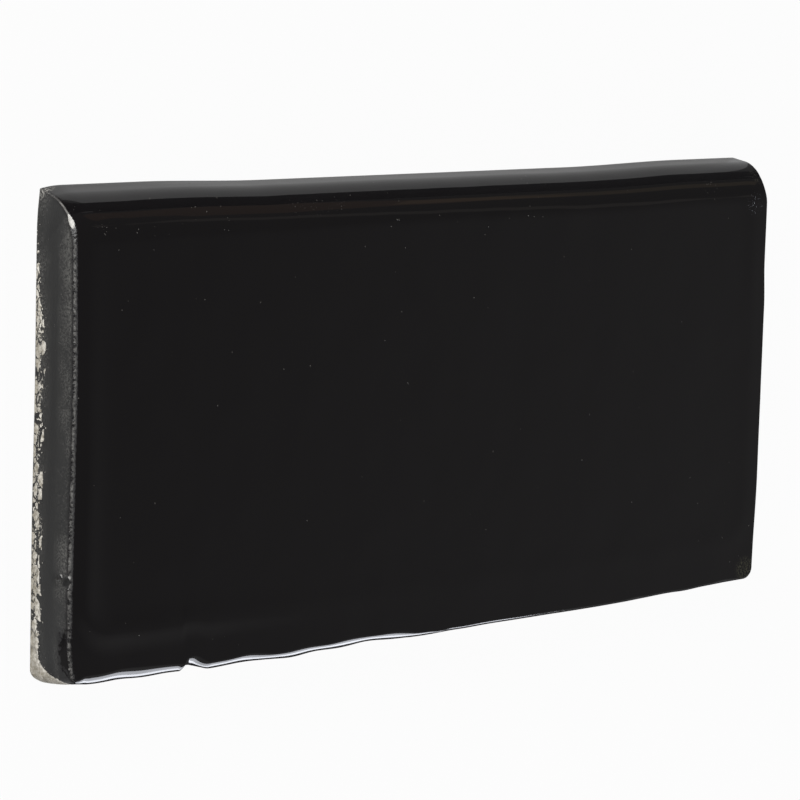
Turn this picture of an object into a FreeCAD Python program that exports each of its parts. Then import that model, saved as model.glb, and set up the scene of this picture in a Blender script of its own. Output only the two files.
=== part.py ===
import FreeCAD
import Part
import Sketcher

import os

# A glazed ceramic bullnose wall tile: clay pressed in a mould, glazed and fired as one piece.
# It lies on its back. X runs along the tile, Y goes up to the long edge that is rounded over,
# and Z comes out through the glazed face. The origin is the middle of the back.

# Driving dimensions: alias, value, and what it measures. Lengths are millimetres, angles degrees.
DRIVING_SIZES = [
    ("tile_length", 150.0, "along the rounded edge, measured at the back"),
    ("tile_height", 75.0, "from the square long edge to the rounded one, at the back"),
    ("tile_thickness", 10.0, "from the back to the glazed face"),
    ("draft_angle", 4.0, "lean of the ends and the foot, which lets the tile leave its mould"),
    ("bullnose_lean", 9.0, "lean of the land behind the rounded edge"),
    ("bullnose_land", 2.5, "height of the bullnose's centre above the back, which leaves the land"),
    ("lower_corner_radius", 2.5, "the two lower corners, seen on the face"),
    ("face_arris_radius", 1.2, "glazed arris along the foot, the ends and the ends of the bullnose"),
    ("back_arris_radius", 0.8, "rubbed edge around the back"),
]
SAME_PLACE = 1e-4


def make_size_sheet(doc):
    """The spreadsheet that every feature of the tile reads its sizes from."""
    sheet = doc.addObject("Spreadsheet::Sheet", "sizes")
    for row, (alias, value, meaning) in enumerate(DRIVING_SIZES, start=1):
        sheet.set(f"A{row}", alias)
        sheet.set(f"B{row}", str(value))
        sheet.set(f"C{row}", meaning)
        sheet.setAlias(f"B{row}", alias)
    doc.recompute()
    return sheet


def origin_plane(body, role):
    """One of the body's own origin planes, such as XY_Plane."""
    return next(plane for plane in body.Origin.OriginFeatures if plane.Role == role)


def draw_back_outline(body):
    """The outline of the back: a rectangle centred on the origin."""
    sketch = body.newObject("Sketcher::SketchObject", "back_outline")
    sketch.AttachmentSupport = [(origin_plane(body, "XY_Plane"), "")]
    sketch.MapMode = "FlatFace"

    start, end, sketch_origin = 1, 2, -1
    corners = [FreeCAD.Vector(x, y, 0) for x, y in ((-1, -1), (1, -1), (1, 1), (-1, 1))]
    sides = zip(corners, corners[1:] + corners[:1])
    foot, right, top, left = (sketch.addGeometry(Part.LineSegment(a, b), False) for a, b in sides)

    for side, following in ((foot, right), (right, top), (top, left), (left, foot)):
        sketch.addConstraint(Sketcher.Constraint("Coincident", side, end, following, start))
    for side in (foot, top):
        sketch.addConstraint(Sketcher.Constraint("Horizontal", side))
    for side in (right, left):
        sketch.addConstraint(Sketcher.Constraint("Vertical", side))
    sketch.addConstraint(Sketcher.Constraint("Symmetric", foot, start, top, start, sketch_origin, 1))

    length = sketch.addConstraint(Sketcher.Constraint("DistanceX", foot, start, foot, end, 2.0))
    height = sketch.addConstraint(Sketcher.Constraint("DistanceY", right, start, right, end, 2.0))
    sketch.renameConstraint(length, "length")
    sketch.renameConstraint(height, "height")
    sketch.setExpression("Constraints.length", "sizes.tile_length")
    sketch.setExpression("Constraints.height", "sizes.tile_height")
    return sketch


def press_blank(body, outline):
    """The pressed block of clay, as long and as high at the face as at the back."""
    blank = body.newObject("PartDesign::Pad", "pressed_blank")
    blank.Profile = outline
    blank.setExpression("Length", "sizes.tile_thickness")
    return blank


def lean_edges(body, base, name, angle, test):
    """Leans the upright edge faces that pass the test in from the back to the face."""
    body.Document.recompute()
    outward = [face.normalAt(0, 0) for face in base.Shape.Faces]
    chosen = [f"Face{number}" for number, normal in enumerate(outward, start=1)
              if abs(normal.z) < SAME_PLACE and test(normal)]
    drafted = body.newObject("PartDesign::Draft", name)
    drafted.Base = (base, chosen)
    drafted.NeutralPlane = (origin_plane(body, "XY_Plane"), [""])
    drafted.setExpression("Angle", angle)
    base.Visibility = False
    return drafted


def edges_where(feature, test):
    """Names of the feature's edges whose two end points pass the test."""
    names = []
    for number, edge in enumerate(feature.Shape.Edges, start=1):
        ends = [vertex.Point for vertex in edge.Vertexes]
        if len(ends) == 2 and test(*ends):
            names.append(f"Edge{number}")
    return names


def round_edges(body, base, name, radius, test):
    """Rounds the edges that pass the test, and the edges that run on smoothly from them."""
    base.Document.recompute()
    fillet = body.newObject("PartDesign::Fillet", name)
    fillet.Base = (base, edges_where(base, test))
    fillet.setExpression("Radius", radius)
    base.Visibility = False
    return fillet


def make_tile(doc, sheet):
    """The tile: a tapered block whose top edge is rounded over and whose other edges are softened."""
    body = doc.addObject("PartDesign::Body", "bullnose_tile")
    body.Label = "bullnose_tile"
    blank = press_blank(body, draw_back_outline(body))
    # The ends and the foot lean a little, the land behind the bullnose leans more.
    joint_edges = lean_edges(
        body, blank, "joint_edges", "sizes.draft_angle", lambda normal: normal.y < 0.5,
    )
    drafted = lean_edges(
        body, joint_edges, "bullnose_land", "sizes.bullnose_lean", lambda normal: normal.y > 0.5,
    )

    def at_face(point):
        return abs(point.z - sheet.tile_thickness) < SAME_PLACE

    def at_back(point):
        return abs(point.z) < SAME_PLACE

    def along_tile(a, b):
        return abs(a.y - b.y) < SAME_PLACE and abs(a.x - b.x) > sheet.tile_length / 2

    # The top edge of the face becomes the bullnose, rounded over down to its land.
    bullnose = round_edges(
        body, drafted, "bullnose_edge", "sizes.tile_thickness - sizes.bullnose_land",
        lambda a, b: at_face(a) and at_face(b) and along_tile(a, b) and a.y > 0,
    )
    # The two corners at the foot run from the back to the face.
    corners = round_edges(
        body, bullnose, "lower_corners", "sizes.lower_corner_radius",
        lambda a, b: at_face(a) != at_face(b) and at_back(a) != at_back(b) and a.y < 0 and b.y < 0,
    )
    # The glazed arris runs along the foot, round the corners, up the ends and over the bullnose.
    face_arris = round_edges(
        body, corners, "face_arris", "sizes.face_arris_radius",
        lambda a, b: at_face(a) and at_face(b) and along_tile(a, b) and a.y < 0,
    )
    # The rubbed edge goes all the way round the back.
    round_edges(
        body, face_arris, "back_arris", "sizes.back_arris_radius",
        lambda a, b: at_back(a) and at_back(b) and along_tile(a, b) and a.y < 0,
    )
    doc.recompute()
    return body


def check(doc, pieces):
    """Stops before anything is written if a feature failed or a piece isn't one sound solid."""
    for item in doc.Objects:
        if {"Invalid", "Error"} & set(item.State):
            raise RuntimeError(f"{item.Label} failed: {item.State}")
    for piece in pieces:
        if piece.Shape.isNull() or not piece.Shape.isValid() or len(piece.Shape.Solids) != 1:
            raise RuntimeError(f"{piece.Label} isn't one sound solid")


def export(pieces):
    """Writes each piece to a STEP file named after it."""
    os.makedirs("parts", exist_ok=True)
    for piece in pieces:
        piece.Shape.exportStep(f"parts/{piece.Label}.step")
        box = piece.Shape.BoundBox
        print(f"{piece.Label}: {box.XLength:.2f} x {box.YLength:.2f} x {box.ZLength:.2f} mm, "
              f"{piece.Shape.Volume / 1000:.2f} cm3, {len(piece.Shape.Faces)} faces")


document = FreeCAD.newDocument("bullnose_tile")
size_sheet = make_size_sheet(document)
tile_pieces = [make_tile(document, size_sheet)]
check(document, tile_pieces)
export(tile_pieces)
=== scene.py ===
import math

import bpy
import numpy as np
from mathutils import Matrix, Vector


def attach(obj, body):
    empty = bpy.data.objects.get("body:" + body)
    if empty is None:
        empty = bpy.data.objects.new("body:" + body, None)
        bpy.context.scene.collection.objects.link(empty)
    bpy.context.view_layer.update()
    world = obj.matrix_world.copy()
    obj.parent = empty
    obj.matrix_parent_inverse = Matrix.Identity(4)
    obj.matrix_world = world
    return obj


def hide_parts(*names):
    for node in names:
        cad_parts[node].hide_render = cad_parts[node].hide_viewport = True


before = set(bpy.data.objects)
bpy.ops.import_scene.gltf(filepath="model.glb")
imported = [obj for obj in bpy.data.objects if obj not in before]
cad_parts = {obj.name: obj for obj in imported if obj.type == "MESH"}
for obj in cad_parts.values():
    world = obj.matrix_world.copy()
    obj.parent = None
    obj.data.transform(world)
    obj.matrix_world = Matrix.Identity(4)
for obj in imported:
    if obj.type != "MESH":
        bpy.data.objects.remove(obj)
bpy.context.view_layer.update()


# The tile: clay pressed in a mould, glazed on its face and edges and fired as one piece.
# Its top edge is rounded over. The sizes are millimetres in the CAD's frame, a tenth of a
# millimetre or so inside the solid, which leaves room for the waves of the hand-worked edges.
MM = 0.001
TILE_LENGTH = 149.6
FOOT_LINE = -37.42
TOP_LINE = 37.36
BLOCK_TOP = 37.0
TILE_THICKNESS = 9.8
BULLNOSE_RADIUS = 7.0
LAND_LEAN = 7.0
END_DRAFT = math.tan(math.radians(4.0))
NICK_X, NICK_DEPTH = -50.6, 0.95
TINY = 1e-9


def stepped(start, *runs):
    """Cutting lines from start on, in (end, step) runs."""
    lines = [start]
    for end, step in runs:
        count = max(1, round((end - start) / step))
        lines += [start + (end - start) * n / count for n in range(1, count + 1)]
        start = end
    return np.array(lines)


# The block is cut finely where it is rounded, at the nick and at the pit in the left end, and
# more coarsely over the flat face.
half = TILE_LENGTH / 2
x_lines = stepped(
    -half, (-half + 1.5, 0.12), (-half + 5, 0.3), (NICK_X - 4, 0.7), (NICK_X + 4, 0.2),
    (0, 0.8), (half - 4, 1.1), (half - 1.5, 0.3), (half, 0.12),
)
y_lines = stepped(
    FOOT_LINE, (FOOT_LINE + 2.2, 0.1), (FOOT_LINE + 4, 0.3), (FOOT_LINE + 14, 0.8),
    (FOOT_LINE + 20, 0.3), (BLOCK_TOP - 7.6, 1.1), (BLOCK_TOP - 0.8, 0.45), (BLOCK_TOP, 0.12),
)
z_lines = stepped(
    0, (0.9, 0.18), (3.0, 0.3), (6.0, 0.5), (TILE_THICKNESS - 2, 0.35), (TILE_THICKNESS, 0.13),
)


def block_skin(counts):
    """Lattice points of a block's six sides, each point once, and the quads between them."""
    quads = []
    for axis in range(3):
        first, second = (axis + 1) % 3, (axis + 2) % 3
        for far in (False, True):
            u, v = np.meshgrid(np.arange(counts[first]), np.arange(counts[second]), indexing="ij")
            side = np.empty(u.shape + (3,), int)
            side[..., axis] = counts[axis] - 1 if far else 0
            side[..., first], side[..., second] = u, v
            corner = side[:-1, :-1], side[1:, :-1], side[1:, 1:], side[:-1, 1:]
            ring = np.stack(corner if far else corner[::-1], axis=2)
            quads.append(ring.reshape(-1, 4, 3))
    quads = np.concatenate(quads)
    flat = np.ravel_multi_index(np.moveaxis(quads.reshape(-1, 3), 1, 0), counts)
    used, index = np.unique(flat, return_inverse=True)
    return np.stack(np.unravel_index(used, counts), axis=1), index.reshape(-1, 4)


def rounded(depth, other, reach, other_reach, fullness=2.0):
    """The depths below two sides that meet, with the arris between them worked off.

    Fullness 2 is a true round, and towards 1 it is more and more a flat bevel.
    """
    near, near_other = np.maximum(1 - depth / reach, 0), np.maximum(1 - other / other_reach, 0)
    size = (near ** fullness + near_other ** fullness) ** (1 / fullness)
    cut = 1 - np.maximum(near, near_other) / np.maximum(size, TINY)
    return depth + reach * near * cut, other + other_reach * near_other * cut


def ease(value, start, end):
    """Goes smoothly from 0 at start to 1 at end."""
    t = np.clip((value - start) / (end - start), 0, 1)
    return t * t * (3 - 2 * t)


def bump(value, middle, reach):
    """A smooth hump of height 1 at middle, about as wide as reach to each side."""
    return np.exp(-((value - middle) / reach) ** 2)


lattice, tile_quads = block_skin((len(x_lines), len(y_lines), len(z_lines)))
x, y, z = x_lines[lattice[:, 0]], y_lines[lattice[:, 1]], z_lines[lattice[:, 2]]
on_left = x < 0

# The bullnose is fuller at the left end, where its land leans more as well.
to_left_end = ease(-x, 20, 74)
radius = BULLNOSE_RADIUS + 0.6 * to_left_end
lean = np.radians(LAND_LEAN + 5 * to_left_end)
bullnose_z = TILE_THICKNESS - radius
bullnose_y = BLOCK_TOP - radius

# The end arris is tight behind the bullnose and grows rounder to the front, where the glaze
# has run into a drop.
turn_at = np.degrees(np.arctan2(z - bullnose_z, np.maximum(y - bullnose_y, TINY)))
left_arris = 0.15 + 0.55 * ease(turn_at, 40, 64) - 0.15 * ease(turn_at, 68, 88)
right_arris = 0.32 * (ease(turn_at, -10, 25) - ease(turn_at, 60, 88))
end_arris = 0.45 + np.where(on_left, left_arris, right_arris)

# Along the foot the glaze lies in a bevelled roll: broad near the left corner, wavy from there
# to the middle, thin by the right corner with a few lumps, and broken at the nick.
foot_roll = (
    1.0 + 0.6 * bump(x, -62.5, 6) + 0.15 * bump(x, -71, 3)
    + 0.15 * np.cos(x / 1.6) * (ease(x, -47, -40) - ease(x, -4, 10))
    - 0.15 * ease(x, -20, 0) - 0.4 * ease(x, -8, 0) - 0.15 * ease(x, 20, 40)
    - 0.35 * bump(x, -0.3, 1.5) + 0.15 * bump(x, 45, 1.2) + 0.2 * bump(x, 67.5, 1.5)
    - 0.9 * bump(x, NICK_X - 2.5, 0.5) + 0.3 * bump(x, NICK_X, 1.4)
) * (0.3 + 0.8 * ease(x, -74.3, -71.8))
foot_roll = np.maximum(foot_roll, 0.08)
roll_drop = 0.27 + 0.33 * foot_roll - 0.15 * bump(x, -73.2, 1.2)

# The arris is worked off the ends and the foot, and the shares of it that the glaze needs are
# kept: the arris line, which carries a painted pale highlight, and the dry skin of the ends,
# which stops at the black run.
foot_share = ease(half - np.abs(x) - (y - FOOT_LINE), -1.5, 1.5)
side_in = np.minimum(half - np.abs(x), y - FOOT_LINE)
front_in = np.minimum(TILE_THICKNESS - z, BLOCK_TOP - y)
side_reach = end_arris + (foot_roll - end_arris) * foot_share
cap_reach = end_arris + 0.6 * (ease(-y, 29, 33) - ease(-y, 33.5, 36)) * on_left
front_reach = cap_reach + (roll_drop - cap_reach) * foot_share
arris_line = np.clip(1 - (side_in + front_in) / end_arris, 0, 1) * (1 - foot_share)
end_skin = ease(front_in, 0.4 * end_arris, end_arris) * (half - np.abs(x) < TINY)
end_skin = end_skin * (1 - ease(z, 6.4, 7.4) * ease(-y, 27.5, 29.5) * on_left)
side_depth, front_depth = rounded(
    side_in, front_in, side_reach, front_reach, 2.0 - 0.66 * foot_share,
)
x = np.sign(x) * np.minimum(np.abs(x), half - side_depth)
y = np.clip(y, FOOT_LINE + side_depth, BLOCK_TOP - front_depth)
z = np.minimum(z, TILE_THICKNESS - front_depth)

# The edge round the back is rubbed: broadly along the foot, hardly at all behind the bullnose.
foot_near = ease(half - np.abs(x) - (y - FOOT_LINE), -2, 2)
rubbed = 0.25 + 0.35 * ease(-y, -35, -30) + 1.6 * foot_near * ease(-y, 28, 36)
edge_in = np.minimum.reduce([half - np.abs(x), y - FOOT_LINE, BLOCK_TOP - y])
edge_depth, back_depth = rounded(edge_in, z, rubbed, rubbed)
x = np.sign(x) * np.minimum(np.abs(x), half - edge_depth)
y = np.clip(y, FOOT_LINE + edge_depth, BLOCK_TOP - edge_depth)
z = np.maximum(z, back_depth)

# The glaze stands in a low rim a few millimetres inside the ends and the foot of the face, and
# turns the corner in a round. It is highest by the lower left corner.
RIM_HEIGHT, RIM_WIDTH, RIM_CORNER = 0.18, 2.2, 5.0
RIM_FROM_END, RIM_FROM_FOOT = 3.2, 8.0
from_end = np.maximum(RIM_CORNER + RIM_FROM_END - (half - np.abs(x)), 0)
from_foot = np.maximum(RIM_CORNER + RIM_FROM_FOOT - (y - FOOT_LINE), 0)
rim = RIM_HEIGHT * bump(np.hypot(from_end, from_foot), RIM_CORNER, RIM_WIDTH)
rim_share = 0.25 + 0.75 * ease(-x - y, 40, 100)
z = z + rim * ease(z, TILE_THICKNESS - 0.3, TILE_THICKNESS) * rim_share

# The two lower corners, seen on the face. The left one is sharper at the face than at the back.
lower_corner = np.where(on_left, 1.9 - 1.0 * z / TILE_THICKNESS, 2.0)
over_x = np.maximum(np.abs(x) - (half - lower_corner), 0)
over_y = np.maximum(FOOT_LINE + lower_corner - y, 0)
pull = 1 - np.maximum(over_x, over_y) / np.maximum(np.hypot(over_x, over_y), TINY)
x = x - np.sign(x) * over_x * pull
y = y + over_y * pull

# The ends lean in from the back to the face. The foot's own lean is lost in its roll of glaze.
x = x * (1 - z * END_DRAFT / half)

# The bullnose: from the flat face round to a land that leans out to the back.
round_y = TOP_LINE - bullnose_z * np.tan(lean) - radius / np.cos(lean)
across, above = (y - bullnose_y) / radius, (z - bullnose_z) / radius
reach = radius * np.maximum(across, above)
turn = lean + np.arctan2(above, np.maximum(across, TINY)) * (1 - lean / (math.pi / 2))
on_round = (across > 0) & (above >= 0)
on_land = (across > 0) & (above < 0)
land_y = round_y + reach * np.cos(lean)
land_z = bullnose_z + reach * np.sin(lean)
share = z / bullnose_z
y = y + (round_y - bullnose_y) * ease(y, 0, 25)
y = np.where(on_round, round_y + reach * np.cos(turn), y)
z_round = np.where(on_round, bullnose_z + reach * np.sin(turn), z)
y = np.where(on_land, land_y + land_z * np.tan(lean) * (1 - share), y)
z = np.where(on_land, land_z * share, z_round)

# Waves of the worked edges: the foot is drawn in at both corners and lumpy between them, with
# one nick near its left end.
foot_in = (
    0.4 + 0.85 * ease(x, 40, 74) + 0.1 * np.cos(x / 2.1 + 0.6) * ease(-x, -30, 20)
    + 0.35 * ease(-x, 60, 66) + 0.4 * ease(-x, 66, 75) + 0.3 * ease(-x, 70.5, 74)
    + 0.15 * bump(x, -62, 4) - 0.12 * bump(x, -69, 2.5) + 0.2 * bump(x, -57, 5)
    + 0.2 * bump(x, 50, 10) - 0.15 * bump(x, 57, 3) - 0.4 * bump(x, -30.5, 3.4)
    - 0.25 * bump(x, -3, 4) + 0.2 * bump(x, -16, 3.5)
    + NICK_DEPTH * (ease(x, NICK_X - 2.8, NICK_X - 1.7) - ease(x, NICK_X - 0.6, NICK_X + 3.2))
)
front_share = z / TILE_THICKNESS
y = y + foot_in * front_share ** (1 + ease(-x, 60, 74)) * ease(-y, 22, 37)

# The top edge dips along its middle and at the left corner.
top_dip = 0.5 * (ease(x, -56, -32) - ease(x, 33, 60))
top_dip = top_dip + 0.36 * np.clip((-x - 70.8) / 3.7, 0, 1) ** 2
y = y - top_dip * ease(y, 8, 37)

# The two ends are a little hollow, and the left one has a pit of two dents with a lump beside it.
left_front = (
    -0.22 + 0.33 * bump(y, 9, 14) - 0.15 * bump(y, -22, 9)
    + 0.6 * ease(-y, 30, 37) + 0.2 * ease(-y, 33, 37)
)
left_back = 0.1 + 0.28 * ease(y, -16, 12) + 0.65 * ease(y, 30, 38)
left_in = left_back + (left_front - left_back) * ease(z, 0, TILE_THICKNESS)
right_in = 0.3 + 0.38 * ease(y, 12, 20) * ease(z, 2, TILE_THICKNESS) + 0.4 * ease(-y, 18, 34)
pits = 0
for depth, pit_y, reach_y, pit_z, reach_z in (
    (0.7, -20.6, 0.6, 7.2, 0.7), (0.7, -20.7, 0.7, 8.9, 0.5), (-0.12, -22.0, 0.7, 9.2, 0.5),
):
    pits = pits + depth * bump(y, pit_y, reach_y) * bump(z, pit_z, reach_z)
x = x + (left_in + pits) * ease(-x, 45, 74) - right_in * ease(x, 45, 74)

tile_mesh = bpy.data.meshes.new("glazed_tile")
tile_mesh.from_pydata((np.stack([x, y, z], axis=1) * MM).tolist(), [], tile_quads.tolist())
for skin_name, skin_share in (("end_skin", end_skin), ("arris_line", arris_line)):
    tile_mesh.attributes.new(skin_name, "FLOAT", "POINT").data.foreach_set("value", skin_share)
tile = bpy.data.objects.new("glazed_tile", tile_mesh)
bpy.context.collection.objects.link(tile)


def linear(hex_colour):
    """An sRGB hex colour as linear RGBA."""
    parts = [int(hex_colour[n:n + 2], 16) / 255 for n in (1, 3, 5)]
    light = [c / 12.92 if c <= 0.04045 else ((c + 0.055) / 1.055) ** 2.4 for c in parts]
    return (*light, 1.0)


def add_node(tree, kind, inputs=(), **settings):
    """Adds a node with its settings, and gives each input in (socket, value or link) pairs."""
    node = tree.nodes.new(kind)
    for name, value in settings.items():
        setattr(node, name, value)
    for socket, value in inputs:
        if isinstance(value, bpy.types.NodeSocket):
            tree.links.new(value, node.inputs[socket])
        else:
            node.inputs[socket].default_value = value
    return node


# Black gloss glaze on buff biscuit. The face and the bullnose are a deep mirror. At the ends the
# glaze is thin and dry, a grainy satin grey. Along the back it stops in ragged chips and the
# pale fired clay shows, as it does all over the back. Patterns are in millimetres.
glaze = bpy.data.materials.new("black_gloss_glaze")
glaze.use_nodes = True
look = glaze.node_tree
look.nodes.clear()
coat = add_node(look, "ShaderNodeBsdfPrincipled", [("IOR", 1.5), ("Metallic", 0.0)])
add_node(look, "ShaderNodeOutputMaterial", [("Surface", coat.outputs["BSDF"])])
where = add_node(look, "ShaderNodeTexCoord").outputs["Object"]
spot = add_node(
    look, "ShaderNodeVectorMath", [(0, where), ("Scale", 1000.0)], operation="SCALE",
).outputs["Vector"]
spot_xyz = add_node(look, "ShaderNodeSeparateXYZ", [(0, spot)])
spot_x, spot_y, spot_z = (spot_xyz.outputs[axis] for axis in "XYZ")
ends = add_node(look, "ShaderNodeAttribute", attribute_name="end_skin").outputs["Fac"]
arris = add_node(look, "ShaderNodeAttribute", attribute_name="arris_line").outputs["Fac"]

# Bare clay: about 2 mm up from the back on the lower part of the ends, mere flakes at the top.
bare_low = add_node(
    look, "ShaderNodeMapRange",
    [("Value", spot_y), ("From Min", 14.0), ("From Max", 27.0), ("To Min", 2.45), ("To Max", 0.9)],
).outputs["Result"]
bare_top = add_node(
    look, "ShaderNodeMapRange",
    [("Value", spot_y), ("From Min", 27.0), ("From Max", 34.0), ("To Min", 0.0), ("To Max", 1.0)],
).outputs["Result"]
bare_height = add_node(
    look, "ShaderNodeMath", [(0, bare_low), (1, bare_top)], operation="SUBTRACT",
).outputs[0]

# It ends in chips of 1 to 2 mm, which are lost in plain clay at the lower corners.
crumble = add_node(
    look, "ShaderNodeTexNoise",
    [("Vector", spot), ("Scale", 1 / 0.6), ("Detail", 3.0), ("Roughness", 0.65)],
)
broken = add_node(
    look, "ShaderNodeVectorMath",
    [(0, crumble.outputs["Color"]), (1, (0.7, 0.7, 0.7)), (2, spot)], operation="MULTIPLY_ADD",
).outputs["Vector"]
chip_place = add_node(
    look, "ShaderNodeMapping",
    [("Vector", broken), ("Rotation", (math.radians(-25), 0, 0)), ("Scale", (1.0, 1 / 1.7, 1.0))],
).outputs["Vector"]
chips = add_node(look, "ShaderNodeTexVoronoi", [("Vector", chip_place), ("Scale", 1.0)])
chip_tone = add_node(look, "ShaderNodeSeparateColor", [(0, chips.outputs["Color"])]).outputs[0]
chip_share = add_node(
    look, "ShaderNodeMapRange", [("Value", chip_tone), ("To Min", 0.5), ("To Max", 1.2)],
).outputs["Result"]
lower_share = add_node(
    look, "ShaderNodeMapRange",
    [("Value", spot_y), ("From Min", -34.0), ("From Max", -28.0), ("To Min", 0.15),
     ("To Max", 1.0)],
).outputs["Result"]
chip_share = add_node(
    look, "ShaderNodeMix", [(0, lower_share), (2, 1.0), (3, chip_share)], data_type="FLOAT",
).outputs[0]
bare_line = add_node(
    look, "ShaderNodeMath", [(0, bare_height), (1, chip_share)], operation="MULTIPLY",
).outputs[0]

# At the two lower corners the clay rises in a curve, up to 7 mm.
corner_rise = add_node(
    look, "ShaderNodeMapRange", [("Value", spot_y), ("From Min", -33.0), ("From Max", -36.6)],
).outputs["Result"]
corner_rise = add_node(
    look, "ShaderNodeMath", [(0, corner_rise), (1, 2.6)], operation="POWER",
).outputs[0]
corner_rise = add_node(
    look, "ShaderNodeMath", [(0, corner_rise), (1, 7.0)], operation="MULTIPLY",
).outputs[0]
from_middle = add_node(look, "ShaderNodeMath", [(0, spot_x)], operation="ABSOLUTE").outputs[0]
near_end = add_node(
    look, "ShaderNodeMapRange", [("Value", from_middle), ("From Min", 70.5), ("From Max", 72.5)],
).outputs["Result"]
bare_line = add_node(
    look, "ShaderNodeMath", [(0, corner_rise), (1, near_end), (2, bare_line)],
    operation="MULTIPLY_ADD",
).outputs[0]
below_line = add_node(
    look, "ShaderNodeMath", [(0, bare_line), (1, spot_z)], operation="SUBTRACT",
).outputs[0]
bare_edge = add_node(
    look, "ShaderNodeMapRange", [("Value", below_line), ("From Min", -0.06), ("From Max", 0.06)],
).outputs["Result"]

# Some glaze is left between the chips, and crumbs of bare clay lie above them.
chip_edge = add_node(
    look, "ShaderNodeTexVoronoi", [("Vector", chip_place), ("Scale", 1.0)],
    feature="DISTANCE_TO_EDGE",
).outputs["Distance"]
left_over = add_node(
    look, "ShaderNodeMath", [(0, chip_edge), (1, chip_tone)], operation="MULTIPLY",
).outputs[0]
left_over = add_node(
    look, "ShaderNodeMapRange",
    [("Value", left_over), ("From Min", 0.018), ("From Max", 0.04), ("To Min", 1.0),
     ("To Max", 0.0)],
).outputs["Result"]
left_over = add_node(
    look, "ShaderNodeMath", [(0, left_over), (1, lower_share)], operation="MULTIPLY",
).outputs[0]
bare_edge = add_node(
    look, "ShaderNodeMath", [(0, bare_edge), (1, left_over)], operation="SUBTRACT", use_clamp=True,
).outputs[0]
crumbs = add_node(
    look, "ShaderNodeTexNoise", [("Vector", spot), ("Scale", 1 / 0.5), ("Detail", 1.0)],
).outputs["Fac"]
crumb_reach = add_node(
    look, "ShaderNodeMapRange",
    [("Value", below_line), ("From Min", -1.4), ("From Max", -0.2), ("To Min", -0.8),
     ("To Max", -0.6)],
).outputs["Result"]
crumbs = add_node(
    look, "ShaderNodeMath", [(0, crumbs), (1, crumb_reach)], operation="ADD",
).outputs[0]
crumbs = add_node(
    look, "ShaderNodeMapRange", [("Value", crumbs), ("From Min", 0.0), ("From Max", 0.04)],
).outputs["Result"]
crumbs = add_node(
    look, "ShaderNodeMath", [(0, crumbs), (1, ends)], operation="MULTIPLY",
).outputs[0]
bare_edge = add_node(
    look, "ShaderNodeMath", [(0, bare_edge), (1, crumbs)], operation="MAXIMUM",
).outputs[0]
on_back = add_node(
    look, "ShaderNodeMapRange",
    [("Value", spot_z), ("From Min", 0.06), ("From Max", 0.16), ("To Min", 1.0), ("To Max", 0.0)],
).outputs["Result"]
bare = add_node(
    look, "ShaderNodeMath", [(0, bare_edge), (1, on_back)], operation="MAXIMUM",
).outputs[0]

# The dry end glaze: fine grain of about 0.2 mm, drawn a pixel or two coarse, and frosting that
# gathers in patches towards the face and along the bare clay.
grain = add_node(
    look, "ShaderNodeTexNoise",
    [("Vector", spot), ("Scale", 1 / 0.35), ("Detail", 2.0), ("Roughness", 0.7)],
).outputs["Fac"]
patches = add_node(
    look, "ShaderNodeTexNoise", [("Vector", spot), ("Scale", 1 / 6.0), ("Detail", 2.0)],
).outputs["Fac"]
towards_face = add_node(
    look, "ShaderNodeMapRange", [("Value", spot_z), ("From Min", 5.5), ("From Max", 9.0)],
).outputs["Result"]
towards_back = add_node(
    look, "ShaderNodeMapRange",
    [("Value", spot_z), ("From Min", 4.5), ("From Max", 2.0), ("To Max", 0.5)],
).outputs["Result"]
frosting = add_node(
    look, "ShaderNodeMath", [(0, towards_face), (1, towards_back)], operation="ADD",
).outputs[0]
frost_patch = add_node(
    look, "ShaderNodeMapRange",
    [("Value", patches), ("From Min", 0.38), ("From Max", 0.62), ("To Min", 0.2), ("To Max", 0.9)],
).outputs["Result"]
frosting = add_node(
    look, "ShaderNodeMath", [(0, frosting), (1, frost_patch)], operation="MULTIPLY",
).outputs[0]
grain_tone = add_node(
    look, "ShaderNodeMapRange",
    [("Value", grain), ("From Min", 0.4), ("From Max", 0.75), ("To Min", 0.15), ("To Max", 1.0)],
).outputs["Result"]
frosting = add_node(
    look, "ShaderNodeMath", [(0, frosting), (1, 1.5), (2, 0.1)], operation="MULTIPLY_ADD",
).outputs[0]
frost = add_node(
    look, "ShaderNodeMath", [(0, frosting), (1, grain_tone)], operation="MULTIPLY", use_clamp=True,
).outputs[0]
end_colour = add_node(
    look, "ShaderNodeMix",
    [(0, frost), (6, linear("#0A0A0A")), (7, linear("#545350"))], data_type="RGBA",
).outputs[2]
glaze_colour = add_node(
    look, "ShaderNodeMix",
    [(0, ends), (6, linear("#0C0A0B")), (7, end_colour)], data_type="RGBA",
).outputs[2]

# A painted highlight along the end arris, pale grey: in dashes beside the face, and in a whole
# line over the bullnose, which fades towards the back.
dashes = add_node(
    look, "ShaderNodeTexNoise", [("Vector", spot), ("Scale", 1 / 0.6), ("Detail", 2.0)],
).outputs["Fac"]
dashes = add_node(
    look, "ShaderNodeMapRange", [("Value", dashes), ("From Min", 0.42), ("From Max", 0.62)],
).outputs["Result"]
highlight_down_arris = add_node(
    look, "ShaderNodeMapRange",
    [("Value", spot_y), ("From Min", 30.4), ("From Max", 29.6), ("To Max", 0.26)],
).outputs["Result"]
highlight_over_arc = add_node(
    look, "ShaderNodeMapRange",
    [("Value", spot_y), ("From Min", 31.8), ("From Max", 32.4), ("To Max", 0.55)],
).outputs["Result"]
arc_fade = add_node(
    look, "ShaderNodeMapRange",
    [("Value", spot_y), ("From Min", 34.2), ("From Max", 36.6), ("To Min", 1.0), ("To Max", 0.45)],
).outputs["Result"]
highlight_over_arc = add_node(
    look, "ShaderNodeMath", [(0, highlight_over_arc), (1, arc_fade)], operation="MULTIPLY",
).outputs[0]
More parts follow.
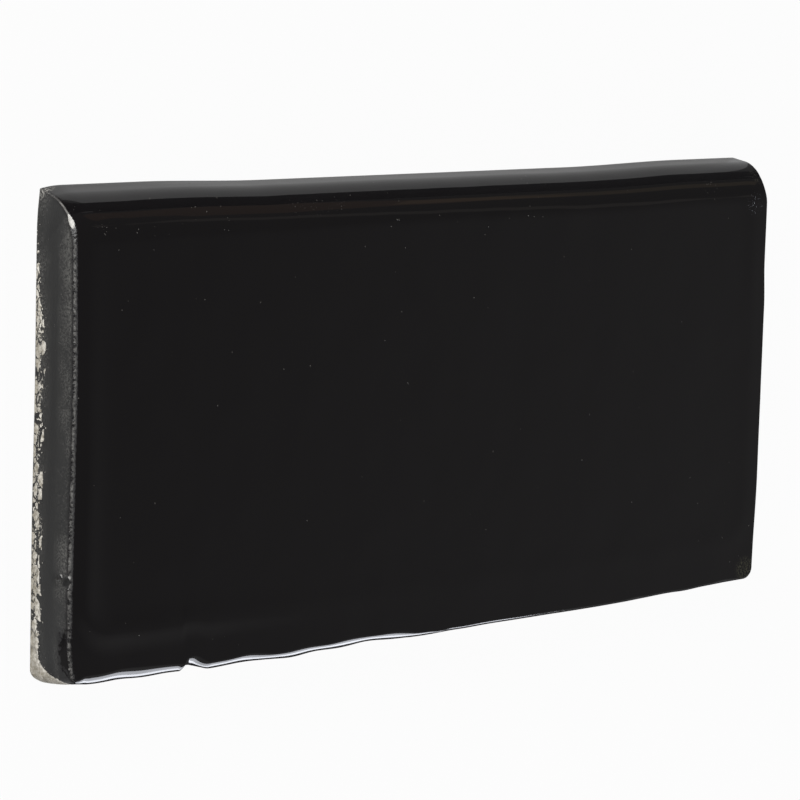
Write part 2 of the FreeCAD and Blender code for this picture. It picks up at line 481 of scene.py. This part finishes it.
highlight_share = add_node(
    look, "ShaderNodeMath", [(0, highlight_down_arris), (1, highlight_over_arc)], operation="MAXIMUM",
).outputs[0]
arris_highlight = add_node(
    look, "ShaderNodeMapRange", [("Value", arris), ("From Min", 0.5), ("From Max", 0.85)],
).outputs["Result"]
arris_highlight = add_node(
    look, "ShaderNodeMath", [(0, arris_highlight), (1, highlight_share)], operation="MULTIPLY",
).outputs[0]
dashes = add_node(
    look, "ShaderNodeMath", [(0, dashes), (1, highlight_over_arc)], operation="MAXIMUM",
).outputs[0]
arris_highlight = add_node(
    look, "ShaderNodeMath", [(0, arris_highlight), (1, dashes)], operation="MULTIPLY",
).outputs[0]

# A painted highlight, a pale spot, on the drop of glaze at the left end, where the bullnose
# meets the face.
drop_along = add_node(
    look, "ShaderNodeMapRange",
    [("Value", spot_y), ("From Min", 32.75), ("From Max", 33.9)], clamp=False,
).outputs["Result"]
drop_across = add_node(
    look, "ShaderNodeMapRange",
    [("Value", arris), ("From Min", 1.0), ("From Max", 0.38)], clamp=False,
).outputs["Result"]
drop_place = add_node(look, "ShaderNodeCombineXYZ", [(0, drop_along), (1, drop_across)]).outputs[0]
from_drop = add_node(
    look, "ShaderNodeVectorMath", [(0, drop_place)], operation="LENGTH",
).outputs["Value"]
drop_highlight = add_node(
    look, "ShaderNodeMapRange", [("Value", from_drop), ("From Min", 1.0), ("From Max", 0.8)],
).outputs["Result"]
on_left_end = add_node(
    look, "ShaderNodeMath", [(0, spot_x), (1, 0.0)], operation="LESS_THAN",
).outputs[0]
drop_highlight = add_node(
    look, "ShaderNodeMath", [(0, drop_highlight), (1, on_left_end)], operation="MULTIPLY",
).outputs[0]
arris_highlight = add_node(look, "ShaderNodeMath", [(0, arris_highlight), (1, drop_highlight)], operation="MAXIMUM").outputs[0]
# The painted highlights of the arris and of the drop are mixed in here as pale grey.
glaze_colour = add_node(
    look, "ShaderNodeMix",
    [(0, arris_highlight), (6, glaze_colour), (7, linear("#A9A7A2"))], data_type="RGBA",
).outputs[2]

# Fired clay: pale buff with darker, browner grains of 1 mm and under, palest along the chips.
clay_tone = add_node(
    look, "ShaderNodeMapRange",
    [("Value", crumble.outputs["Fac"]), ("From Min", 0.32), ("From Max", 0.62)],
).outputs["Result"]
clay_rim = add_node(
    look, "ShaderNodeMapRange",
    [("Value", below_line), ("From Min", 0.2), ("From Max", 1.4), ("To Min", 1.0),
     ("To Max", 0.45)],
).outputs["Result"]
clay_tone = add_node(
    look, "ShaderNodeMath", [(0, clay_tone), (1, clay_rim)], operation="MULTIPLY",
).outputs[0]
clay_colour = add_node(
    look, "ShaderNodeMix",
    [(0, clay_tone), (6, linear("#7A7364")), (7, linear("#DAD6CD"))], data_type="RGBA",
).outputs[2]
colour = add_node(
    look, "ShaderNodeMix", [(0, bare), (6, glaze_colour), (7, clay_colour)], data_type="RGBA",
).outputs[2]

# Marks of a few millimetres: pale rubbing at the upper left corner of the back, olive frosting at
# the right corners of the face, a chalky scuff below the bullnose's right end, painted shade in a
# pit in the left end with two crumbs beside it, a pale speck below it, and clusters of pinholes on
# the bullnose. Each has its middle, its radius, the grain from which it shows, its colour and how
# dull it is.
wear_and_shade = None
for middle, size, from_grain, tone, dullness in (
    ((-73.4, 36.9, 0.6), 1.9, 0.50, "#8B8984", 1.0),
    ((71.3, -34.3, 9.8), 2.6, 0.48, "#302F24", 0.25),
    ((70.2, 30.0, 9.7), 2.2, 0.62, "#7D8085", 1.0),
    # Painted shade: near black in the pit of the left end.
    ((-74.4, -20.9, 8.7), 0.9, 0.1, "#040404", 1.0),
    ((-74.5, -20.0, 7.8), 0.38, 0.2, "#B8B7B4", 1.0),
    ((-74.3, -20.0, 9.5), 0.35, 0.2, "#A09F9C", 1.0),
    ((-74.1, -33.9, 9.4), 0.35, 0.2, "#A9A7A2", 1.0),
    ((72.2, 34.8, 8.0), 1.9, 0.56, "#34322A", 0.6),
    ((-31.5, 33.8, 8.8), 2.4, 0.66, "#77746F", 1.0),
    ((-27.0, 33.6, 8.9), 2.2, 0.66, "#77746F", 1.0),
    ((-23.5, 34.0, 8.7), 2.0, 0.66, "#77746F", 1.0),
    ((-69.0, 31.8, 9.5), 1.9, 0.66, "#77746F", 1.0),
    ((60.0, 33.0, 9.2), 2.4, 0.66, "#77746F", 1.0),
):
    off = add_node(
        look, "ShaderNodeVectorMath", [(0, spot), (1, middle)], operation="DISTANCE",
    ).outputs["Value"]
    inside = add_node(
        look, "ShaderNodeMapRange", [("Value", off), ("From Min", size), ("From Max", 0.5 * size)],
    ).outputs["Result"]
    flecks = add_node(
        look, "ShaderNodeMapRange",
        [("Value", grain), ("From Min", from_grain), ("From Max", from_grain + 0.1)],
    ).outputs["Result"]
    flecks = add_node(
        look, "ShaderNodeMath", [(0, flecks), (1, inside)], operation="MULTIPLY",
    ).outputs[0]
    colour = add_node(
        look, "ShaderNodeMix", [(0, flecks), (6, colour), (7, linear(tone))], data_type="RGBA",
    ).outputs[2]
    flecks = add_node(
        look, "ShaderNodeMath", [(0, flecks), (1, dullness)], operation="MULTIPLY",
    ).outputs[0]
    wear_and_shade = flecks if wear_and_shade is None else add_node(
        look, "ShaderNodeMath", [(0, wear_and_shade), (1, flecks)], operation="MAXIMUM",
    ).outputs[0]
look.links.new(colour, coat.inputs["Base Color"])

# Gloss: a mirror on the face, satin at the ends, dull on bare clay and on the marks.
MIRROR, DULL = 0.05, 0.92
end_gloss = add_node(
    look, "ShaderNodeMapRange", [("Value", frost), ("To Min", 0.2), ("To Max", 0.45)],
).outputs["Result"]
glaze_gloss = add_node(
    look, "ShaderNodeMix", [(0, ends), (2, MIRROR), (3, end_gloss)], data_type="FLOAT",
).outputs[0]
dull = add_node(look, "ShaderNodeMath", [(0, bare), (1, wear_and_shade)], operation="MAXIMUM").outputs[0]
gloss = add_node(
    look, "ShaderNodeMix", [(0, dull), (2, glaze_gloss), (3, DULL)], data_type="FLOAT",
).outputs[0]
look.links.new(gloss, coat.inputs["Roughness"])

# Relief too fine for the mesh: the step down to the bare clay and its grain, the grain of the
# dry ends and the beaded line of their arris.
rough_share = add_node(
    look, "ShaderNodeMath", [(0, ends), (1, bare)], operation="MAXIMUM",
).outputs[0]
beads = add_node(look, "ShaderNodeMath", [(0, arris), (1, 3.0)], operation="MULTIPLY").outputs[0]
rough_share = add_node(
    look, "ShaderNodeMath", [(0, rough_share), (1, beads)], operation="MAXIMUM",
).outputs[0]
grain_lift = add_node(
    look, "ShaderNodeMath", [(0, grain), (1, rough_share)], operation="MULTIPLY",
).outputs[0]
relief = add_node(
    look, "ShaderNodeMath", [(0, grain_lift), (1, bare)], operation="SUBTRACT",
).outputs[0]

# A black run of glaze hangs below the lower left corner of the face. Its skin leans up to the dark
# room, and its edge is ragged.
RUN_MIDDLE, RUN_REACH, RUN_LEAN = (-74.3, -31.6, 8.8), (3.0, 3.6, 1.6), 0.6
run_place = add_node(
    look, "ShaderNodeMapping",
    [("Vector", spot), ("Location", tuple(-m / r for m, r in zip(RUN_MIDDLE, RUN_REACH))),
     ("Scale", tuple(1 / r for r in RUN_REACH))],
).outputs["Vector"]
from_run = add_node(
    look, "ShaderNodeVectorMath", [(0, run_place)], operation="LENGTH",
).outputs["Value"]
from_run = add_node(
    look, "ShaderNodeMath", [(0, crumble.outputs["Fac"]), (1, 2.0), (2, from_run)],
    operation="MULTIPLY_ADD",
).outputs[0]
run = add_node(
    look, "ShaderNodeMapRange", [("Value", from_run), ("From Min", 2.05), ("From Max", 1.7)],
).outputs["Result"]
run_lean = add_node(look, "ShaderNodeCombineXYZ", [(2, run)]).outputs[0]
skin_normal = add_node(look, "ShaderNodeNewGeometry").outputs["Normal"]
skin_normal = add_node(
    look, "ShaderNodeVectorMath",
    [(0, run_lean), (1, (RUN_LEAN, RUN_LEAN, RUN_LEAN)), (2, skin_normal)],
    operation="MULTIPLY_ADD",
).outputs["Vector"]
skin_normal = add_node(
    look, "ShaderNodeVectorMath", [(0, skin_normal)], operation="NORMALIZE",
).outputs["Vector"]
relief_bump = add_node(
    look, "ShaderNodeBump",
    [("Height", relief), ("Distance", 0.05 * MM), ("Strength", 1.0), ("Normal", skin_normal)],
)
look.links.new(relief_bump.outputs["Normal"], coat.inputs["Normal"])

# Grit fired into the glaze: dull grey specks under half a millimetre.
grit = bpy.data.materials.new("fired_grit")
grit.use_nodes = True
dust = grit.node_tree
grit_coat = dust.nodes["Principled BSDF"]
grit_where = add_node(dust, "ShaderNodeTexCoord").outputs["Object"]
grit_tone = add_node(dust, "ShaderNodeTexNoise", [("Vector", grit_where), ("Scale", 1000 / 6.0)])
grit_colour = add_node(
    dust, "ShaderNodeMix",
    [(0, grit_tone.outputs["Fac"]), (6, linear("#201E1C")), (7, linear("#58554F"))],
    data_type="RGBA",
)
dust.links.new(grit_colour.outputs[2], grit_coat.inputs["Base Color"])
grit_coat.inputs["Roughness"].default_value = 0.3

# The skin of the glaze: a slow ripple all over it and grit specks scattered in it.
skin = bpy.data.node_groups.new("glaze_skin", "GeometryNodeTree")
skin.is_modifier = True
skin.interface.new_socket("Geometry", in_out="OUTPUT", socket_type="NodeSocketGeometry")
skin.interface.new_socket("Geometry", in_out="INPUT", socket_type="NodeSocketGeometry")
skin_sizes = {}
for name, kind, value in (
    ("Ripple Height", "NodeSocketFloat", 0.05 * MM),
    ("Ripple Width", "NodeSocketFloat", 11 * MM),
    ("Specks per Square Metre", "NodeSocketFloat", 7000.0),
    ("Speck Radius", "NodeSocketFloat", 0.095 * MM),
    ("Seed", "NodeSocketInt", 7),
    ("Glaze", "NodeSocketMaterial", glaze),
    ("Grit", "NodeSocketMaterial", grit),
):
    socket = skin.interface.new_socket(name, in_out="INPUT", socket_type=kind)
    skin_sizes[socket.identifier] = value
given = add_node(skin, "NodeGroupInput").outputs
place = add_node(skin, "GeometryNodeInputPosition").outputs[0]
place_xyz = add_node(skin, "ShaderNodeSeparateXYZ", [(0, place)])
normal = add_node(skin, "GeometryNodeInputNormal").outputs[0]
ripple_scale = add_node(
    skin, "ShaderNodeMath", [(0, 1.0), (1, given["Ripple Width"])], operation="DIVIDE",
).outputs[0]
ripple = add_node(
    skin, "ShaderNodeTexNoise", [("Vector", place), ("Scale", ripple_scale), ("Detail", 1.0)],
).outputs["Fac"]
ripple_lift = add_node(
    skin, "ShaderNodeMapRange", [("Value", ripple), ("To Min", -1.0), ("To Max", 1.0)],
    clamp=False,
).outputs["Result"]
ripple_lift = add_node(
    skin, "ShaderNodeMath", [(0, ripple_lift), (1, given["Ripple Height"])], operation="MULTIPLY",
).outputs[0]
ripple_step = add_node(
    skin, "ShaderNodeVectorMath", [(0, normal), ("Scale", ripple_lift)], operation="SCALE",
).outputs["Vector"]
glazed = add_node(
    skin, "FunctionNodeCompare", [(0, place_xyz.outputs["Z"]), (1, 1.5 * MM)],
    data_type="FLOAT", operation="GREATER_THAN",
).outputs[0]
rippled = add_node(
    skin, "GeometryNodeSetPosition",
    [("Geometry", given["Geometry"]), ("Selection", glazed), ("Offset", ripple_step)],
).outputs[0]

# The specks gather in clusters of about 18 mm where the bullnose turns into the face.
clusters = add_node(
    skin, "ShaderNodeTexNoise", [("Vector", place), ("Scale", 1000 / 18), ("Detail", 0.0)],
).outputs["Fac"]
clusters = add_node(
    skin, "ShaderNodeMapRange",
    [("Value", clusters), ("From Min", 0.5), ("From Max", 0.6), ("To Max", 14.0)],
).outputs["Result"]
below_nose = add_node(
    skin, "ShaderNodeMapRange",
    [("Value", place_xyz.outputs["Y"]), ("From Min", 26 * MM), ("From Max", 30 * MM)],
).outputs["Result"]
crowding = add_node(
    skin, "ShaderNodeMath", [(0, clusters), (1, below_nose), (2, 1.0)], operation="MULTIPLY_ADD",
).outputs[0]
density = add_node(
    skin, "ShaderNodeMath", [(0, crowding), (1, given["Specks per Square Metre"])],
    operation="MULTIPLY",
).outputs[0]
spots = add_node(
    skin, "GeometryNodeDistributePointsOnFaces",
    [("Mesh", rippled), ("Selection", glazed), ("Density", density), ("Seed", given["Seed"])],
)
speck = add_node(
    skin, "GeometryNodeMeshUVSphere",
    [("Segments", 8), ("Rings", 5), ("Radius", given["Speck Radius"])],
)
speck_size = add_node(
    skin, "FunctionNodeRandomValue", [(2, 0.4), (3, 1.1), ("Seed", given["Seed"])],
    data_type="FLOAT",
).outputs[1]
speck_shape = add_node(skin, "ShaderNodeCombineXYZ", [(0, 1.0), (1, 1.0), (2, 0.45)]).outputs[0]
speck_shape = add_node(
    skin, "ShaderNodeVectorMath", [(0, speck_shape), ("Scale", speck_size)], operation="SCALE",
).outputs["Vector"]
specks = add_node(
    skin, "GeometryNodeInstanceOnPoints",
    [("Points", spots.outputs["Points"]), ("Instance", speck.outputs["Mesh"]),
     ("Rotation", spots.outputs["Rotation"]), ("Scale", speck_shape)],
).outputs[0]
specks = add_node(skin, "GeometryNodeRealizeInstances", [("Geometry", specks)]).outputs[0]
specks = add_node(
    skin, "GeometryNodeSetMaterial", [("Geometry", specks), ("Material", given["Grit"])],
).outputs[0]
rippled = add_node(
    skin, "GeometryNodeSetMaterial", [("Geometry", rippled), ("Material", given["Glaze"])],
).outputs[0]
joined = add_node(skin, "GeometryNodeJoinGeometry")
skin.links.new(specks, joined.inputs[0])
skin.links.new(rippled, joined.inputs[0])
smooth = add_node(
    skin, "GeometryNodeSetShadeSmooth", [("Geometry", joined.outputs[0])],
).outputs[0]
add_node(skin, "NodeGroupOutput", [(0, smooth)])

dressing = tile.modifiers.new("glaze_skin", "NODES")
dressing.node_group = skin
for identifier, value in skin_sizes.items():
    dressing[identifier] = value
bpy.context.view_layer.update()
ready = tile.evaluated_get(bpy.context.evaluated_depsgraph_get())
dressed_mesh = bpy.data.meshes.new_from_object(ready)
tile.modifiers.remove(dressing)
tile.data = dressed_mesh
dressed_mesh.name = "glazed_tile"
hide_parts("bullnose_tile")
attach(tile, "root")


# The studio floor: a seamless pale sheet under the tile. It is white to the camera, dimmer in
# mirrors, and keeps a part of its own shading, so that the tile's shadow stays on it.
FLOOR_REACH, FLOOR_DROP = 4.0, 0.2 * MM
WHITE_TO_CAMERA, WHITE_IN_MIRRORS = 0.96, 0.2
floor_mesh = bpy.data.meshes.new("studio_floor")
floor_corners = [
    (a * FLOOR_REACH, b * FLOOR_REACH, -FLOOR_DROP) for a, b in ((-1, -1), (1, -1), (1, 1), (-1, 1))
]
floor_mesh.from_pydata(floor_corners, [], [(0, 1, 2, 3)])
floor = bpy.data.objects.new("studio_floor", floor_mesh)
bpy.context.collection.objects.link(floor)
paper = bpy.data.materials.new("white_studio_paper")
paper.use_nodes = True
sheet = paper.node_tree
sheet.nodes.clear()
matt = add_node(sheet, "ShaderNodeBsdfDiffuse", [("Color", linear("#A2A2A2"))])
glow = add_node(sheet, "ShaderNodeEmission", [("Color", linear("#FFFFFF")), ("Strength", 1.0)])
ray = add_node(sheet, "ShaderNodeLightPath").outputs
mirrored = add_node(
    sheet, "ShaderNodeMath", [(0, ray["Is Glossy Ray"]), (1, ray["Is Transmission Ray"])],
    operation="MAXIMUM",
).outputs[0]
mirrored = add_node(
    sheet, "ShaderNodeMath", [(0, mirrored), (1, WHITE_IN_MIRRORS)], operation="MULTIPLY",
).outputs[0]
white_share = add_node(
    sheet, "ShaderNodeMath", [(0, ray["Is Camera Ray"]), (1, WHITE_TO_CAMERA), (2, mirrored)],
    operation="MULTIPLY_ADD",
).outputs[0]
blend = add_node(
    sheet, "ShaderNodeMixShader",
    [(0, white_share), (1, matt.outputs["BSDF"]), (2, glow.outputs["Emission"])],
)
add_node(sheet, "ShaderNodeOutputMaterial", [("Surface", blend.outputs["Shader"])])
floor_mesh.materials.append(paper)


# Dark flags, out of the picture, with corners in millimetres. They show only in mirrors, as painted
# shade in the mirrored floor and room: a low one stands behind the rounded edge and narrows the
# pale band mirrored in it, one with a paler edge lies behind each end and stops the band short, and
# one lies before the foot and gives its roll of glaze a dark lower edge.
FLAG_LIFT = 0.5
left_edge = ((-76.0, 40.0), (-73.5, 40.0), (-38.0, 80.0), (-44.5, 80.0))
right_edge = ((79.0, 40.0), (85.0, 40.0), (120.0, 80.0), (111.0, 80.0))
flat_flags = (
    ("foot_flag", "#161616", ((-70.0, -300.0), (350.0, -300.0), (350.0, -39.0), (-70.0, -39.0))),
    ("left_flag", "#3A3A3A", ((-90.0, 40.0), left_edge[0], left_edge[3], (-90.0, 80.0))),
    ("left_flag_edge", "#6A6A6A", left_edge),
    ("right_flag", "#3A3A3A", (right_edge[1], (250.0, 40.0), (250.0, 80.0), right_edge[2])),
    ("right_flag_edge", "#6A6A6A", right_edge),
)
standing = [(-150.0, 80.0, 0.0), (250.0, 80.0, 0.0), (250.0, 80.0, 25.0), (-150.0, 80.0, 25.0)]
flags = [("back_flag", "#4A4A4A", standing)]
for name, tone, plan in flat_flags:
    flags.append((name, tone, [(*corner, FLAG_LIFT) for corner in plan]))
for name, tone, corners in flags:
    flag_mesh = bpy.data.meshes.new(name)
    flag_mesh.from_pydata((np.array(corners) * MM).tolist(), [], [(0, 1, 2, 3)])
    flag = bpy.data.objects.new(name, flag_mesh)
    bpy.context.collection.objects.link(flag)
    felt = bpy.data.materials.new(name + "_felt")
    felt.use_nodes = True
    nap = felt.node_tree.nodes["Principled BSDF"]
    nap.inputs["Base Color"].default_value = linear(tone)
    nap.inputs["Roughness"].default_value = 1.0
    flag_mesh.materials.append(felt)
    flag.visible_camera = False
    flag.visible_diffuse = False
    flag.visible_shadow = False


# Studio light: a soft box from the upper left, a dim one overhead, two low strips beyond the foot,
# three faint warm parts of the room's furniture and the dark room, which the black face mirrors.
def soft_box(name, towards, distance, width, height, brightness, colour="#FFFFFF", roll=0.0):
    """A lamp in that direction from the tile, facing it, turned by roll degrees."""
    lamp = bpy.data.lights.new(name, "AREA")
    lamp.shape = "RECTANGLE"
    lamp.size, lamp.size_y = width, height
    lamp.energy = math.pi * width * height * brightness
    lamp.color = linear(colour)[:3]
    stand = bpy.data.objects.new(name, lamp)
    out = Vector(towards).normalized()
    rolled = Matrix.Rotation(math.radians(roll), 4, "Z")
    facing = out.to_track_quat("Z", "Y").to_matrix().to_4x4() @ rolled
    stand.matrix_world = Matrix.Translation(out * distance) @ facing
    stand.visible_camera = False
    bpy.context.collection.objects.link(stand)


soft_box("key_box", (-0.70, 0.585, 0.40), 0.60, 0.36, 0.74, 6.4, roll=45.0)
soft_box("top_box", (-0.50, -0.10, 0.86), 0.80, 0.45, 0.60, 1.3)
soft_box("foot_strip", (0.165, -0.405, 0.214), 0.48, 0.38, 0.088, 6.8, "#F4F7FF")
soft_box("low_foot_strip", (0.165, -0.445, 0.129), 0.48, 0.38, 0.088, 13.5, "#F4F7FF")
soft_box("warm_wall", (0.574, 0.702, 0.422), 0.80, 0.22, 0.17, 0.095, "#FFBC89", roll=-35.0)
soft_box("warm_rail", (0.704, 0.597, 0.384), 0.80, 0.16, 0.10, 0.13, "#FFE0AF", roll=17.0)
soft_box("olive_shelf", (0.647, 0.378, 0.661), 0.80, 0.32, 0.05, 0.11, "#FFF4E6", roll=2.0)

# The room is dark behind the tile's top and grows lighter to the right and beyond the foot.
ROOM_DARK, ROOM_LIGHT, WINDOW_LIGHT = 0.13, 0.235, 0.15
room = bpy.data.worlds.new("dim_studio")
room.use_nodes = True
walls = room.node_tree
look_out = add_node(walls, "ShaderNodeTexCoord").outputs["Generated"]
rightwards = add_node(
    walls, "ShaderNodeVectorMath", [(0, look_out), (1, (1.0, -0.4, 0.0))], operation="DOT_PRODUCT",
).outputs["Value"]
room_light = add_node(
    walls, "ShaderNodeMapRange",
    [("Value", rightwards), ("From Min", 0.6), ("From Max", 0.86), ("To Min", ROOM_DARK),
     ("To Max", ROOM_LIGHT)],
).outputs["Result"]
frontwards = add_node(walls, "ShaderNodeSeparateXYZ", [(0, look_out)]).outputs["Y"]
window_light = add_node(
    walls, "ShaderNodeMapRange",
    [("Value", frontwards), ("From Min", -0.24), ("From Max", -0.36), ("To Min", 0.0),
     ("To Max", WINDOW_LIGHT)],
).outputs["Result"]
room_light = add_node(
    walls, "ShaderNodeMath", [(0, room_light), (1, window_light)], operation="ADD",
).outputs[0]
walls.links.new(room_light, walls.nodes["Background"].inputs["Strength"])
walls.nodes["Background"].inputs["Color"].default_value = linear("#FFFFFF")
bpy.context.scene.world = room


# The camera: a long lens in front of the left end, looking down on the face, with the rounded
# edge upwards in the picture.
CAMERA_PLACE = Vector((-365.1, 79.6, 412.7)) * MM
CAMERA_AIM = Vector((0.65389, -0.14339, -0.74287))
CAMERA_UP = Vector((0.0741, 0.98929, -0.12573))
LENS, SENSOR_WIDTH = 153.7, 36.0
camera_data = bpy.data.cameras.new("camera")
camera_data.lens = LENS
camera_data.sensor_width = SENSOR_WIDTH
camera_data.clip_start = 0.01
camera_data.clip_end = 20.0
camera = bpy.data.objects.new("camera", camera_data)
back = -CAMERA_AIM.normalized()
side = CAMERA_UP.cross(back).normalized()
facing = Matrix((side, back.cross(side), back)).transposed().to_4x4()
camera.matrix_world = Matrix.Translation(CAMERA_PLACE) @ facing
bpy.context.collection.objects.link(camera)
bpy.context.scene.camera = camera
bpy.context.scene.view_settings.view_transform = "Standard"
